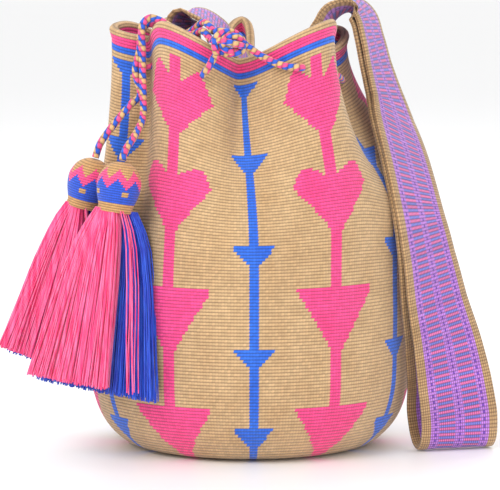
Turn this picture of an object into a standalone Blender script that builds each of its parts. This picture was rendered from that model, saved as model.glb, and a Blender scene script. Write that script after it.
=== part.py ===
# Wayuu mochila bag: a crocheted bucket bag with a gathered mouth, one woven strap,
# a braided drawstring and two tassels.  Metres, +Z up, origin at the centre of the flat base.
# The camera side of the bag is -Y, the strap hangs at +X and the tassels at -X.
import math

import bmesh
import bpy
import numpy as np
from mathutils import Matrix, Vector

MM = 0.001

# driving dimensions
BODY_RADIUS = 110 * MM
BODY_HEIGHT = 292 * MM
WALL = 3 * MM
BASE_FLAT_RADIUS = 72 * MM
ROLL_RADIUS = 3 * MM
BODY_STEPS = 96
EYELET_DEPTH = 24 * MM
EYELET_RADIUS = 3.3 * MM
CORD_RADIUS = 2.4 * MM
STRAP_WIDTH = 54 * MM
STRAP_THICKNESS = 3.2 * MM
HEAD_RADIUS = 14.5 * MM
HEAD_HALF_HEIGHT = 16.5 * MM
TOUCH_GAP = 0.3 * MM
PIVOT_GAP = 2.2 * MM

# The mouth in plan: each valley holds its stitch angle in degrees round the bag, its
# place (x, y) and the height of the rim there; each lobe holds the place of its outermost
# point, its highest rim and where along the lobe that is.  Lobe i follows valley i.
VALLEYS = (
    (-91.5, (-8, -50), 265),
    (-28, (46, -26), 268),
    (38, (0, 28), 262),
    (100, (-24, 30), 266),
    (166, (-42, 4), 274),
    (221, (-66, -37), 279),
)
LOBES = (
    ((45, -76), 291.5, 0.66),
    ((60, 31), 283, 0.5),
    ((-5, 72), 287, 0.5),
    ((-58, 62), 287, 0.5),
    ((-92, -24), 288, 0.5),
    ((-41, -74), 290, 0.28),
)
OUTLINE_STEPS = 720
FOLD_SOFTNESS = 9

# stitch angles of the eyelets, in the order in which the drawstring goes round
EYELETS = (-64.5, -36, -20, 30.5, 45.5, 92.5, 107.5, 158.5, 173.5, 216, 226, 250.5)


def smoothstep(low, high, value):
    t = min(max((value - low) / (high - low), 0.0), 1.0)
    return t * t * (3 - 2 * t)


def gathered_outline():
    """Plan of the rim as one point per half degree of stitches, evenly spaced in each lobe."""
    points = np.zeros((OUTLINE_STEPS, 2))
    for i, (apex, _, _) in enumerate(LOBES):
        start_angle, start, _ = VALLEYS[i]
        end_angle, end, _ = VALLEYS[(i + 1) % len(VALLEYS)]
        end_angle += 360 if end_angle < start_angle else 0
        start, end, apex = np.array(start), np.array(end), np.array(apex)
        middle = (start + end) / 2
        turn = np.linspace(0, math.pi, 81)[:, None]
        arc = middle + (start - middle) * np.cos(turn) + (apex - middle) * np.sin(turn)
        length = np.append(0, np.cumsum(np.hypot(*np.diff(arc, axis=0).T)))
        for k in range(math.ceil(start_angle * 2), math.ceil(end_angle * 2)):
            share = (k / 2 - start_angle) / (end_angle - start_angle) * length[-1]
            x = np.interp(share, length, arc[:, 0])
            y = np.interp(share, length, arc[:, 1])
            points[k % OUTLINE_STEPS] = (x, y)
    smooth = sum(np.roll(points, k, axis=0) for k in range(-FOLD_SOFTNESS, FOLD_SOFTNESS + 1))
    return smooth / (2 * FOLD_SOFTNESS + 1) * MM


RIM_OUTLINE = gathered_outline()


def rim_height(angle):
    """Height of the rim at a stitch angle: it dips at each valley and rises on each lobe."""
    for i, (_, top, peak) in enumerate(LOBES):
        start_angle, _, start_height = VALLEYS[i]
        end_angle, _, end_height = VALLEYS[(i + 1) % len(VALLEYS)]
        span = (end_angle - start_angle) % 360
        along = (angle - start_angle) % 360 / span
        if along <= peak:
            return (start_height + (top - start_height) * smoothstep(0, 1, along / peak)) * MM
        if along <= 1:
            return (end_height + (top - end_height) * smoothstep(0, 1, (1 - along) / (1 - peak))) * MM
    return BODY_HEIGHT


def wall_plan(angle, height):
    """Plan position of the bag's outer face: round low down, gathered at the mouth."""
    left_fold = math.exp(-(((angle + 135 + 180) % 360 - 180) / 18) ** 2)
    fade_start = 145 - 25 * math.cos(math.radians(angle + 155)) - 45 * left_fold
    fade_end = 284 - 44 * left_fold
    gather = smoothstep(fade_start * MM, fade_end * MM, height)
    spot = (angle % 360) * OUTLINE_STEPS / 360
    low = int(spot) % OUTLINE_STEPS
    high = (low + 1) % OUTLINE_STEPS
    rim = RIM_OUTLINE[low] + (RIM_OUTLINE[high] - RIM_OUTLINE[low]) * (spot - int(spot))
    turn = math.radians(angle)
    circle = BODY_RADIUS * np.array((math.cos(turn), math.sin(turn)))
    return circle * (1 - gather) + rim * gather


def wall_normal(angle, height):
    """Outward direction of the wall in plan."""
    along = wall_plan(angle + 0.6, height) - wall_plan(angle - 0.6, height)
    along /= np.hypot(*along)
    return np.array((along[1], -along[0]))


def wall_point(angle, height, inset=0.0):
    """A point of the wall; height is counted on the flat bag, before the mouth is drawn in."""
    plan = wall_plan(angle, height) - wall_normal(angle, height) * inset
    share = smoothstep(100 * MM, 276 * MM, height)
    rise = height * (1 + (rim_height(angle) / BODY_HEIGHT - 1) * share)
    return Vector((plan[0], plan[1], rise))


def new_material(name, colour, roughness):
    material = bpy.data.materials.new(name)
    material.use_nodes = True
    shader = material.node_tree.nodes["Principled BSDF"]
    shader.inputs["Base Color"].default_value = (*colour, 1)
    shader.inputs["Roughness"].default_value = roughness
    shader.inputs["Metallic"].default_value = 0.0
    return material


def add_object(name, mesh, collection, material=None, smooth=True):
    item = bpy.data.objects.new(name, mesh)
    collection.objects.link(item)
    if material:
        mesh.materials.clear()
        mesh.materials.append(material)
    if smooth:
        mesh.shade_smooth()
        mesh.set_sharp_from_angle(angle=math.radians(50))
    return item


def made_real(item, name, collection, material):
    """Turn an object with modifiers, or a curve, into a plain closed mesh object."""
    bpy.context.view_layer.update()
    evaluated = item.evaluated_get(bpy.context.evaluated_depsgraph_get())
    mesh = bpy.data.meshes.new_from_object(evaluated)
    place = item.matrix_world.copy()
    work = bmesh.new()
    work.from_mesh(mesh)
    bmesh.ops.remove_doubles(work, verts=work.verts, dist=0.00002)
    work.to_mesh(mesh)
    work.free()
    bpy.data.objects.remove(item)
    solid = add_object(name, mesh, collection, material)
    solid.matrix_world = place
    return solid


def turned(name, profile, steps, collection, material):
    """A turned solid.  The profile runs from the axis, down the outer side, to the axis."""
    mesh = bpy.data.meshes.new(name)
    edges = [(i, i + 1) for i in range(len(profile) - 1)]
    mesh.from_pydata([(r, 0, z) for r, z in profile], edges, [])
    item = bpy.data.objects.new(name + "_profile", mesh)
    collection.objects.link(item)
    screw = item.modifiers.new("Screw", "SCREW")
    screw.steps = steps
    screw.render_steps = steps
    screw.use_merge_vertices = True
    screw.merge_threshold = 0.00005
    return made_real(item, name, collection, material)


def reshape(item, move):
    for vertex in item.data.vertices:
        vertex.co = move(vertex.co.copy())
    item.data.update()


def smooth_route(points, spacing):
    """Catmull-Rom curve through hand-picked points: (place along the list, point) pairs."""
    ends = [2 * points[0] - points[1]] + list(points) + [2 * points[-1] - points[-2]]
    route = []
    for i, (a, b, c, d) in enumerate(zip(ends, ends[1:], ends[2:], ends[3:])):
        cuts = max(1, round((c - b).length / spacing))
        for k in range(cuts):
            t = k / cuts
            point = 0.5 * (2 * b + (c - a) * t + (2 * a - 5 * b + 4 * c - d) * t * t
                           + (3 * b - a - 3 * c + d) * t * t * t)
            route.append((i + t, point))
    route.append((len(points) - 1, points[-1]))
    return route


def cord(name, points, radius, collection, material, spacing=11 * MM):
    """A round cord along a smooth route, made a closed mesh with capped ends."""
    curve = bpy.data.curves.new(name, "CURVE")
    curve.dimensions = "3D"
    curve.bevel_depth = radius
    curve.bevel_resolution = 2
    curve.use_fill_caps = True
    route = smooth_route(points, spacing)
    spline = curve.splines.new("POLY")
    spline.points.add(len(route) - 1)
    for place, (_, point) in zip(spline.points, route):
        place.co = (*point, 1)
    item = bpy.data.objects.new(name + "_route", curve)
    collection.objects.link(item)
    return made_real(item, name, collection, material)


# ---- body -------------------------------------------------------------------------------

def body_profile():
    """Half section, from the inside centre up the inner wall, over the roll and down."""
    wall_heights = (48, 80, 115, 140, 163, 186, 207, 227, 246, 265, 283)
    corner = ((BASE_FLAT_RADIUS, 0.0), (88 * MM, 5 * MM), (98 * MM, 15 * MM), (105 * MM, 29 * MM))
    outer = list(corner) + [(BODY_RADIUS, height * MM) for height in wall_heights]
    outer[4] = (109 * MM, outer[4][1])
    inner = [(r - WALL * 0.9, z + WALL * 0.6) for r, z in corner[1:]]
    inner = [(BASE_FLAT_RADIUS, WALL)] + inner + [(r - WALL, z) for r, z in outer[4:]]
    roll_centre = (BODY_RADIUS - WALL / 2, BODY_HEIGHT - ROLL_RADIUS)
    roll = []
    for degrees in (205, 150, 90, 30, -25):
        turn = math.radians(degrees)
        roll.append((roll_centre[0] + ROLL_RADIUS * math.cos(turn),
                     roll_centre[1] + ROLL_RADIUS * math.sin(turn)))
    return [(0.0, WALL)] + inner + roll + outer[::-1] + [(0.0, 0.0)]


def gather_vertex(point):
    radius = math.hypot(point.x, point.y)
    if radius < BASE_FLAT_RADIUS - 0.001:
        return point
    angle = math.degrees(math.atan2(point.y, point.x))
    return wall_point(angle, point.z, BODY_RADIUS - radius)


def eyelet_place(angle):
    height = BODY_HEIGHT - EYELET_DEPTH
    return wall_point(angle, height, WALL / 2), wall_normal(angle, height)


def make_body(parts, cutters, material):
    body = turned("bag_body", body_profile(), BODY_STEPS, parts, material)
    reshape(body, gather_vertex)
    for i, angle in enumerate(EYELETS):
        centre, normal = eyelet_place(angle)
        mesh = bpy.data.meshes.new(f"eyelet_cutter_{i}")
        work = bmesh.new()
        bmesh.ops.create_cone(work, cap_ends=True, segments=10, radius1=EYELET_RADIUS,
                              radius2=EYELET_RADIUS, depth=4 * WALL)
        work.to_mesh(mesh)
        work.free()
        cutter = add_object(mesh.name, mesh, cutters, smooth=False)
        outward = Vector((normal[0], normal[1], 0))
        cutter.matrix_world = Matrix.Translation(centre) @ outward.to_track_quat("Z", "Y").to_matrix().to_4x4()
        cutter.hide_render = True
        cutter.display_type = "WIRE"
        cut = body.modifiers.new(f"eyelet_{i}", "BOOLEAN")
        cut.operation = "DIFFERENCE"
        cut.solver = "EXACT"
        cut.object = cutter
    return body


# ---- strap ------------------------------------------------------------------------------

# Rows along the strap's middle: place (x, y, z) in mm, heading of its width in degrees from
# +X, and how far its middle bows out of the plane of its two borders.
STRAP_ROWS = (
    ((-43, -18, 260), 66, 0), ((-44.5, -18, 273), 66, 0), ((-46, -18, 285), 68, 0),
    ((-43, -18, 293), 72, 0), ((-33, -18, 292), 76, 0), ((-21, -17, 284), 79, 0),
    ((-10, -15, 270), 81, 0), ((0, -12, 258), 82, 0), ((12, -9, 254), 82, 0),
    ((26, -5, 257), 81, 0), ((36.5, -2, 267), 79, 0), ((45.3, 1, 281), 77, 0),
    ((55, 4, 294), 76, 0), ((68, 6.5, 299), 75, 0), ((78, 6, 291), 74, 0),
    ((83, 4, 275), 73, 0), ((87, 3, 258), 71, 0), ((92, 0, 241), 68, 0),
    ((97, -6, 225), 65, 0), ((105.5, -26.5, 195), 58, 0), ((113.2, -41.5, 162), 53, 0),
    ((119.8, -44, 131), 48, 0), ((125.5, -43.5, 101), 40, 0), ((132, -44, 74), 30, 0),
    ((137, -44, 48), 21, 0), ((140.5, -43, 24), 16, 0), ((140.5, -41, 10), 16, 0),
    ((139, -36.5, 3.4), 16, 0), ((137.3, -31, 2.2), 16, 0), ((135.5, -25.5, 4.4), 16, 0),
    ((133.5, -21, 13), 16, 0), ((131.5, -20, 28), 18, 0), ((131, -24.5, 48), 21, 0),
    ((126.8, -32, 74), 30, 0), ((121.3, -36.9, 101), 40, 0), ((116.6, -39.6, 131), 48, 0),
    ((110.8, -38.2, 162), 53, 0), ((102.8, -23.4, 195), 58, 0), ((93.5, -4.5, 225), 65, 0),
    ((88.3, 1.5, 241), 68, 0), ((83.2, 4.2, 258), 71, 0), ((79, 5.2, 275), 73, 0),
    ((75.5, 6.5, 286.5), 74, 0), ((67.5, 7.3, 293.5), 75, 1), ((57.5, 3.5, 289), 77, 4),
    ((53, 0, 279), 80, 7), ((51.5, -1.5, 266), 82, 8),
)
STRAP_CELLS = 6
STRAP_SPACING = 8 * MM
STITCHING_RADIUS = 1 * MM


def strap_route():
    """Rows along the strap: middle point, width direction and bow, from the rows above."""
    count = range(len(STRAP_ROWS))
    rows = []
    for at, middle in smooth_route([Vector(place) * MM for place, _, _ in STRAP_ROWS], STRAP_SPACING):
        heading = math.radians(np.interp(at, count, [row[1] for row in STRAP_ROWS]))
        bow = np.interp(at, count, [row[2] for row in STRAP_ROWS]) * MM
        rows.append((middle, Vector((math.cos(heading), math.sin(heading), 0)), bow))
    return rows


def make_strap(parts, material):
    rows = strap_route()
    mesh = bpy.data.meshes.new("strap")
    work = bmesh.new()
    bmesh.ops.create_grid(work, x_segments=len(rows) - 1, y_segments=STRAP_CELLS, size=1)
    for vertex in work.verts:
        row = round((vertex.co.x + 1) / 2 * (len(rows) - 1))
        across = vertex.co.y
        middle, width, bow = rows[row]
        ahead = rows[min(row + 1, len(rows) - 1)][0] - rows[max(row - 1, 0)][0]
        face = ahead.cross(width).normalized()
        width = face.cross(ahead).normalized()
        vertex.co = middle + width * across * STRAP_WIDTH / 2 - face * bow * across * across
    work.to_mesh(mesh)
    work.free()
    strap = add_object("strap", mesh, parts, material)
    skin = strap.modifiers.new("Solidify", "SOLIDIFY")
    skin.thickness = STRAP_THICKNESS
    skin.offset = 0
    return strap


def make_stitching(name, row, parts, material):
    """The line of sewing thread that holds a strap end to the wall, across its edge."""
    rows = strap_route()
    middle, width, bow = rows[row]
    up = Vector((0, 0, 1))
    face = width.cross(up)
    points = []
    for across in (-0.25, -0.1, 0.05, 0.2, 0.35, 0.5):
        lift = STRAP_THICKNESS / 2 + STITCHING_RADIUS + 4 * TOUCH_GAP - bow * across * across
        points.append(middle + width * across * STRAP_WIDTH / 2 + face * lift + up * 2 * MM)
    return cord(name, points, STITCHING_RADIUS, parts, material, 6 * MM)


# ---- drawstring -------------------------------------------------------------------------

KNOT_CENTRE = Vector((-13.5, -76, 276)) * MM
KNOT_HALF = Vector((10.5, 6, 7.5)) * MM


def drawstring_route():
    """From the knot through every eyelet in turn, inside behind lobes, outside at valleys."""
    points = [KNOT_CENTRE + Vector((11.2, 0.5, -1.5)) * MM, Vector((6, -73.5, 268.5)) * MM,
              Vector((15, -77.5, 264)) * MM, Vector((25, -81, 261)) * MM]
    side = 1
    for i, angle in enumerate(EYELETS):
        centre, normal = eyelet_place(angle)
        outward = Vector((normal[0], normal[1], 0))
        for step in (4.8, 1.8, -1.8, -4.8):
            points.append(centre + outward * step * side * MM)
        if side > 0 and i + 1 < len(EYELETS):
            following, _ = eyelet_place(EYELETS[i + 1])
            points.append((centre + following) / 2 - outward * 7 * MM - Vector((0, 0, 4)) * MM)
        side = -side
    points += [Vector((-27.5, -80.8, 260)) * MM, Vector((-24, -80.5, 266)) * MM,
               KNOT_CENTRE + Vector((-7.6, -3.6, -6.6)) * MM]
    return points


# Routes of the two tails, by hand: from the knot over the mouth and the left valley to the
# place where each swings, then down to its tassel.  Millimetres.
REAR_TAIL = ((-23.5, -75.5, 283.5), (-27, -70, 287.5), (-31, -62, 289), (-36.5, -54.5, 284.5),
             (-44, -50.5, 280.5), (-52, -49.5, 281.8), (-58.8, -46.9, 284.6), (-64, -43.8, 286.8),
             (-69, -43, 286.3), (-72, -45.6, 280.5), (-73, -46.6, 270), (-75.8, -47.6, 256),
             (-72.5, -47, 241))
FRONT_TAIL = ((-25.8, -76, 278), (-29, -71, 282.5), (-32.5, -65, 283.5), (-37.5, -60, 281),
              (-44.5, -57, 281.5), (-52.5, -54.8, 286), (-60, -52, 290), (-66.5, -50.5, 291.3),
              (-71.4, -51, 285.5), (-71, -52, 272), (-71, -52.9, 259), (-70.6, -53.9, 244),
              (-70.5, -55.5, 228))
REAR_HANG = ((-72.5, -47, 241), (-78, -49, 235), (-86, -51.5, 226), (-94, -53.8, 216),
             (-99.3, -55.2, 208), (-102.3, -55, 199.4))
FRONT_HANG = ((-70.5, -55.5, 228), (-72.5, -61.5, 221), (-76, -70, 214.5), (-80.5, -77.5, 208),
              (-82.7, -80.5, 203.5), (-83.4, -80.9, 199.6))



def make_tail(name, upper, parts, material):
    """The part of a tail that lies on the bag; it stops just short of where the rest swings."""
    points = [Vector(point) * MM for point in upper]
    points[-1] = points[-1] + (points[-2] - points[-1]).normalized() * PIVOT_GAP
    return cord(name, points, CORD_RADIUS, parts, material)


# ---- tassels ----------------------------------------------------------------------------

# heads, bottom centres of the skirts, the heading of each fan's width and its half width
TASSELS = {
    "rear": {"head": (-106.5, -54, 182.5), "end": (-137, -46, 62), "half_width": 34,
             "hang": REAR_HANG, "thickness": 9},
    "front": {"head": (-86, -82, 182.5), "end": (-107, -90, 52), "half_width": 48,
              "hang": FRONT_HANG, "thickness": 12.5},
}
FAN_HEADING = Vector((-0.91, 0.415, 0)).normalized()
HEAD_PROFILE = ((0, 1.0), (0.42, 0.93), (0.76, 0.70), (0.97, 0.32), (1.0, 0.0), (0.94, -0.34),
                (0.84, -0.62), (0.78, -0.82), (0.78, -1.0), (0, -1.0))
SKIRT_ROWS = (0.0, 0.07, 0.2, 0.42, 0.7, 1.0)
SKIRT_WIDTHS = (0.22, 0.34, 0.50, 0.68, 0.85, 1.0)


def make_head(name, spec, parts, material):
    profile = [(r * HEAD_RADIUS, z * HEAD_HALF_HEIGHT) for r, z in HEAD_PROFILE]
    head = turned(name, profile, 24, parts, material)
    centre = Vector(spec["head"]) * MM
    down = (Vector(spec["end"]) * MM - centre).normalized()
    head.matrix_world = Matrix.Translation(centre) @ (-down).to_track_quat("Z", "Y").to_matrix().to_4x4()
    return head


def make_threads(name, spec, side, parts, material):
    """One colour's bundle of threads: a turned drum opened out into a flat fan."""
    profile = [(0.0, 0.0)] + [(1.0, -row) for row in SKIRT_ROWS] + [(0.0, -1.0)]
    threads = turned(name, profile, 20, parts, material)
    head = Vector(spec["head"]) * MM
    end = Vector(spec["end"]) * MM
    down = (end - head).normalized()
    neck = head + down * (HEAD_HALF_HEIGHT + TOUCH_GAP)
    heading = (FAN_HEADING - FAN_HEADING.dot(down) * down).normalized()
    face = heading.cross(down)
    half = spec["thickness"] * MM / 2

    def open_out(point):
        along = -point.z
        width = np.interp(along, SKIRT_ROWS, SKIRT_WIDTHS) * spec["half_width"] * MM
        deep = np.interp(along, (0, 0.2, 1), (5.2 * MM, half, half))
        middle = neck.lerp(end, along) + face * side * (deep + TOUCH_GAP / 2)
        return middle + heading * point.x * width + face * point.y * deep

    reshape(threads, open_out)
    return threads


def main():
    for item in list(bpy.data.objects):
        bpy.data.objects.remove(item)
    parts = bpy.data.collections.new("mochila_bag")
    cutters = bpy.data.collections.new("cutters")
    bpy.context.scene.collection.children.link(parts)
    bpy.context.scene.collection.children.link(cutters)

    camel = new_material("crocheted_camel_cotton", (0.54, 0.29, 0.10), 0.85)
    woven = new_material("woven_lilac_cotton", (0.45, 0.16, 0.75), 0.8)
    braid = new_material("braided_cotton_cord", (0.75, 0.15, 0.35), 0.75)
    pink = new_material("pink_cotton_thread", (1.0, 0.07, 0.24), 0.7)
    blue = new_material("blue_cotton_thread", (0.02, 0.08, 0.6), 0.7)

    make_body(parts, cutters, camel)
    make_strap(parts, woven)
    make_stitching("left_strap_stitching", 0, parts, camel)
    make_stitching("right_strap_stitching", -1, parts, camel)
    cord("drawstring", drawstring_route(), CORD_RADIUS, parts, braid)

    knot_mesh = bpy.data.meshes.new("drawstring_knot")
    work = bmesh.new()
    bmesh.ops.create_uvsphere(work, u_segments=16, v_segments=10, radius=1,
                              matrix=Matrix.Translation(KNOT_CENTRE) @ Matrix.Diagonal((*KNOT_HALF, 1)))
    work.to_mesh(knot_mesh)
    work.free()
    add_object("drawstring_knot", knot_mesh, parts, braid)

    make_tail("rear_tail_cord", REAR_TAIL, parts, braid)
    make_tail("front_tail_cord", FRONT_TAIL, parts, braid)
    for name, spec in TASSELS.items():
        hang = [Vector(point) * MM for point in spec["hang"]]
        hang[0] = hang[0] + (hang[1] - hang[0]).normalized() * PIVOT_GAP
        cord(f"{name}_tassel_cord", hang, CORD_RADIUS, parts, braid)
        make_head(f"{name}_tassel_head", spec, parts, camel)
        make_threads(f"{name}_tassel_pink_threads", spec, 1, parts, pink)
        make_threads(f"{name}_tassel_blue_threads", spec, -1, parts, blue)


main()
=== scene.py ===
import math
import random
import bpy
import numpy as np
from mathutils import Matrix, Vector, noise


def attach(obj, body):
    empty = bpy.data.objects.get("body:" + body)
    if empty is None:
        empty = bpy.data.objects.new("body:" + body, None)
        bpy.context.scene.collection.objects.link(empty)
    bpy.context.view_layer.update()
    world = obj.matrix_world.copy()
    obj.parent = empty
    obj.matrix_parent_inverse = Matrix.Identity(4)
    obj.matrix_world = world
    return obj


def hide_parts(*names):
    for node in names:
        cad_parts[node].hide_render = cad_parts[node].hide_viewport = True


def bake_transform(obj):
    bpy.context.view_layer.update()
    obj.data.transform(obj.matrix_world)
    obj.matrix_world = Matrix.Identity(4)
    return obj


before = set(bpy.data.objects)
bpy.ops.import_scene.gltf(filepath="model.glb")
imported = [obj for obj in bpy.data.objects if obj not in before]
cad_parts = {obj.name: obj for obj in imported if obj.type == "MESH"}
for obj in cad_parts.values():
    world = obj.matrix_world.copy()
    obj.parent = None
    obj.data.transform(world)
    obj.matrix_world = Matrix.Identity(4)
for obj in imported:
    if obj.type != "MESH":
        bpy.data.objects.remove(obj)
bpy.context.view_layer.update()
mm = 0.001
random.seed(7)
print("frame loaded")


# sRGB hex to the linear colour that the sockets take
def hexToLinear(code):
    channels = [int(code[i:i + 2], 16) / 255 for i in (1, 3, 5)]
    linear = [c / 12.92 if c <= 0.04045 else ((c + 0.055) / 1.055) ** 2.4 for c in channels]
    return (*linear, 1.0)


def newMaterial(name, **shaderValues):
    material = bpy.data.materials.new(name)
    material.use_nodes = True
    shader = material.node_tree.nodes["Principled BSDF"]
    for socket, value in shaderValues.items():
        shader.inputs[socket.replace("_", " ")].default_value = value
    return material, material.node_tree, shader


# adds one node; a link may be another node (its first output), a socket or a plain value
def addNode(tree, kind, settings=None, links=None):
    node = tree.nodes.new(kind)
    for name, value in (settings or {}).items():
        setattr(node, name, value)
    for socket, value in (links or {}).items():
        if isinstance(value, bpy.types.Node):
            value = value.outputs[0]
        if isinstance(value, bpy.types.NodeSocket):
            tree.links.new(value, node.inputs[socket])
        else:
            node.inputs[socket].default_value = value
    return node


def addObject(name, data, material, body):
    item = bpy.data.objects.new(name, data)
    bpy.context.scene.collection.objects.link(item)
    item.data.materials.append(material)
    if body:
        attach(item, body)
    return item


# a closed mesh from rings of points; uv holds two numbers for each point, and uvStep is what
# its first number gains in one full turn
def gridMesh(name, points, uv, uvStep=0):
    rows, columns = points.shape[:2]
    faces = []
    corners = []
    for i in range(rows - 1):
        for j in range(columns):
            k = (j + 1) % columns
            wrap = uvStep if k == 0 else 0
            for row, column, extra in ((i, j, 0), (i, k, wrap), (i + 1, k, wrap), (i + 1, j, 0)):
                corners += [uv[row, column, 0] + extra, uv[row, column, 1]]
            faces.append((i * columns + j, i * columns + k, (i + 1) * columns + k, (i + 1) * columns + j))
    faces += [tuple(range(columns))[::-1], tuple((rows - 1) * columns + j for j in range(columns))]
    corners += [float(x) for x in uv[0, ::-1].ravel()] + [float(x) for x in uv[-1].ravel()]
    mesh = bpy.data.meshes.new(name)
    mesh.from_pydata([tuple(p) for p in points.reshape(-1, 3)], [], faces)
    mesh.uv_layers.new(name="stitches").data.foreach_set("uv", corners)
    mesh.polygons.foreach_set("use_smooth", [True] * len(mesh.polygons))
    return mesh


# Catmull-Rom curve through given points: (place along the list, point) pairs
def smoothRoute(points, spacing):
    ends = [2 * points[0] - points[1]] + list(points) + [2 * points[-1] - points[-2]]
    route = []
    for i, (a, b, c, d) in enumerate(zip(ends, ends[1:], ends[2:], ends[3:])):
        cuts = max(1, round((c - b).length / spacing))
        for k in range(cuts):
            t = k / cuts
            point = 0.5 * (2 * b + (c - a) * t + (2 * a - 5 * b + 4 * c - d) * t * t
                           + (3 * b - a - 3 * c + d) * t * t * t)
            route.append((i + t, point))
    route.append((len(points) - 1, points[-1]))
    return route


# a long lens from well back, looking a little down
cameraSettings = {"distance": 2.3, "height": 0.396, "aimHeight": 0.1348, "lens": 245.1,
                  "sensorWidth": 36, "clipEnd": 100}
drop = cameraSettings["height"] - cameraSettings["aimHeight"]
pitch = math.atan(drop / cameraSettings["distance"])
cameraData = bpy.data.cameras.new("camera")
cameraData.lens = cameraSettings["lens"]
cameraData.sensor_width = cameraSettings["sensorWidth"]
cameraData.clip_end = cameraSettings["clipEnd"]
camera = bpy.data.objects.new("camera", cameraData)
camera.location = (0, -cameraSettings["distance"], cameraSettings["height"])
camera.rotation_euler = (math.pi / 2 - pitch, 0, 0)
bpy.context.scene.collection.objects.link(camera)
bpy.context.scene.camera = camera

# large soft lamps, so the shadows have no hard edge; power in watts
lightSettings = {
    "key": {"place": (-1.1, -1.5, 1.7), "size": 1.3, "power": 26},
    "fill": {"place": (1.6, -1.4, 0.9), "size": 1.6, "power": 7},
    "back": {"place": (0.4, 1.5, 1.8), "size": 1.5, "power": 12},
}
lightAim = Vector((0, 0, 0.12))
for name, light in lightSettings.items():
    data = bpy.data.lights.new(name, "AREA")
    data.shape = "DISK"
    data.size = light["size"]
    data.energy = light["power"]
    lamp = bpy.data.objects.new(name, data)
    lamp.location = light["place"]
    lamp.rotation_euler = (lightAim - lamp.location).to_track_quat("-Z", "Y").to_euler()
    bpy.context.scene.collection.objects.link(lamp)

studioSettings = {"air": "#FFFFFF", "airStrength": 0.97, "boardDark": "#F8F8F9", "boardLight": "#FDFDFD",
                  "boardMottle": 3.0, "boardRoughness": 0.45, "boardDrop": 0.2 * mm,
                  "boardCorners": [(-20, -6, 0), (20, -6, 0), (20, 40, 0), (-20, 40, 0)]}
world = bpy.data.worlds.new("studio")
bpy.context.scene.world = world
world.use_nodes = True
background = world.node_tree.nodes["Background"]
background.inputs["Color"].default_value = hexToLinear(studioSettings["air"])
background.inputs["Strength"].default_value = studioSettings["airStrength"]
bpy.context.scene.view_settings.view_transform = "Standard"

# rolled white paint: half matt, with a mottling so faint that the floor melts into the light
floorMaterial, floorTree, floorShader = newMaterial("painted studio board",
                                                    Roughness=studioSettings["boardRoughness"])
mottle = addNode(floorTree, "ShaderNodeTexNoise", {}, {"Scale": studioSettings["boardMottle"]})
tone = addNode(floorTree, "ShaderNodeMix", {"data_type": "RGBA"},
               {0: mottle, 6: hexToLinear(studioSettings["boardDark"]),
                7: hexToLinear(studioSettings["boardLight"])})
floorTree.links.new(tone.outputs[2], floorShader.inputs["Base Color"])
floorMesh = bpy.data.meshes.new("floor")
floorMesh.from_pydata(studioSettings["boardCorners"], [], [(0, 1, 2, 3)])
floor = bpy.data.objects.new("floor", floorMesh)
bpy.context.scene.collection.objects.link(floor)
floor.data.materials.append(floorMaterial)
floor.location.z = -studioSettings["boardDrop"]
print("camera and studio ready")


# the bag's shape, shared by every piece that touches it
# valleys: angle, place in plan, rim height; lobes: apex in plan, rim height, where its peak lies
# the wall is round below gatherFrom and follows the gathered mouth above gatherTo
bagShape = {
    "radius": 110 * mm, "height": 292 * mm, "wall": 3 * mm, "baseFlat": 72 * mm, "roll": 3 * mm,
    "valleys": ((-91.5, (-8, -50), 265), (-28, (46, -26), 268), (38, (0, 28), 262),
                (100, (-24, 30), 266), (166, (-42, 4), 274), (221, (-66, -37), 279)),
    "lobes": (((45, -76), 291.5, 0.66), ((60, 31), 283, 0.5), ((-5, 72), 287, 0.5),
              ((-58, 62), 287, 0.5), ((-92, -24), 288, 0.5), ((-41, -74), 290, 0.28)),
    "softness": 9, "columns": 336, "stitches": 336, "rowHeight": 2.2 * mm,
    "gatherFrom": 145, "gatherTo": 284, "gatherSway": 25, "swayAngle": -155,
    "foldAngle": -135, "foldWidth": 18, "foldStartsLower": 45, "foldEndsLower": 44,
    "riseFrom": 100 * mm, "riseTo": 276 * mm,
    "swell": 0.9 * mm, "swellsPerMetre": 22, "swellAbove": 12 * mm,
}
stepsPerDegree = 2
outlineSteps = 360 * stepsPerDegree


# each lobe with its two valleys, and the outline's steps between them with their share of the way
def lobeSpans():
    valleys = bagShape["valleys"]
    for i, lobe in enumerate(bagShape["lobes"]):
        startAngle, *start = valleys[i]
        endAngle, *end = valleys[(i + 1) % len(valleys)]
        if endAngle < startAngle:
            endAngle += 360
        steps = range(math.ceil(startAngle * stepsPerDegree), math.ceil(endAngle * stepsPerDegree))
        yield lobe, start, end, [(k % outlineSteps, (k / stepsPerDegree - startAngle)
                                  / (endAngle - startAngle)) for k in steps]


# each lobe of the mouth is half an ellipse from valley to valley through its apex
def gatheredOutline():
    outline = np.zeros((outlineSteps, 2))
    for (apex, _, _), (start, _), (end, _), steps in lobeSpans():
        turn = np.linspace(0, math.pi, 400)[:, None]
        start, end, apex = np.array(start, float), np.array(end, float), np.array(apex, float)
        middle = (start + end) / 2
        arc = middle + (start - middle) * np.cos(turn) + (apex - middle) * np.sin(turn)
        along = np.concatenate([[0], np.cumsum(np.linalg.norm(np.diff(arc, axis=0), axis=1))])
        for k, share in steps:
            outline[k] = [np.interp(share * along[-1], along, arc[:, axis]) for axis in (0, 1)]
    spread = range(-bagShape["softness"], bagShape["softness"] + 1)
    return sum(np.roll(outline, shift, axis=0) for shift in spread) / len(spread) * mm


def smoothstep(low, high, value):
    share = np.clip((value - low) / (high - low), 0, 1)
    return share * share * (3 - 2 * share)


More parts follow.
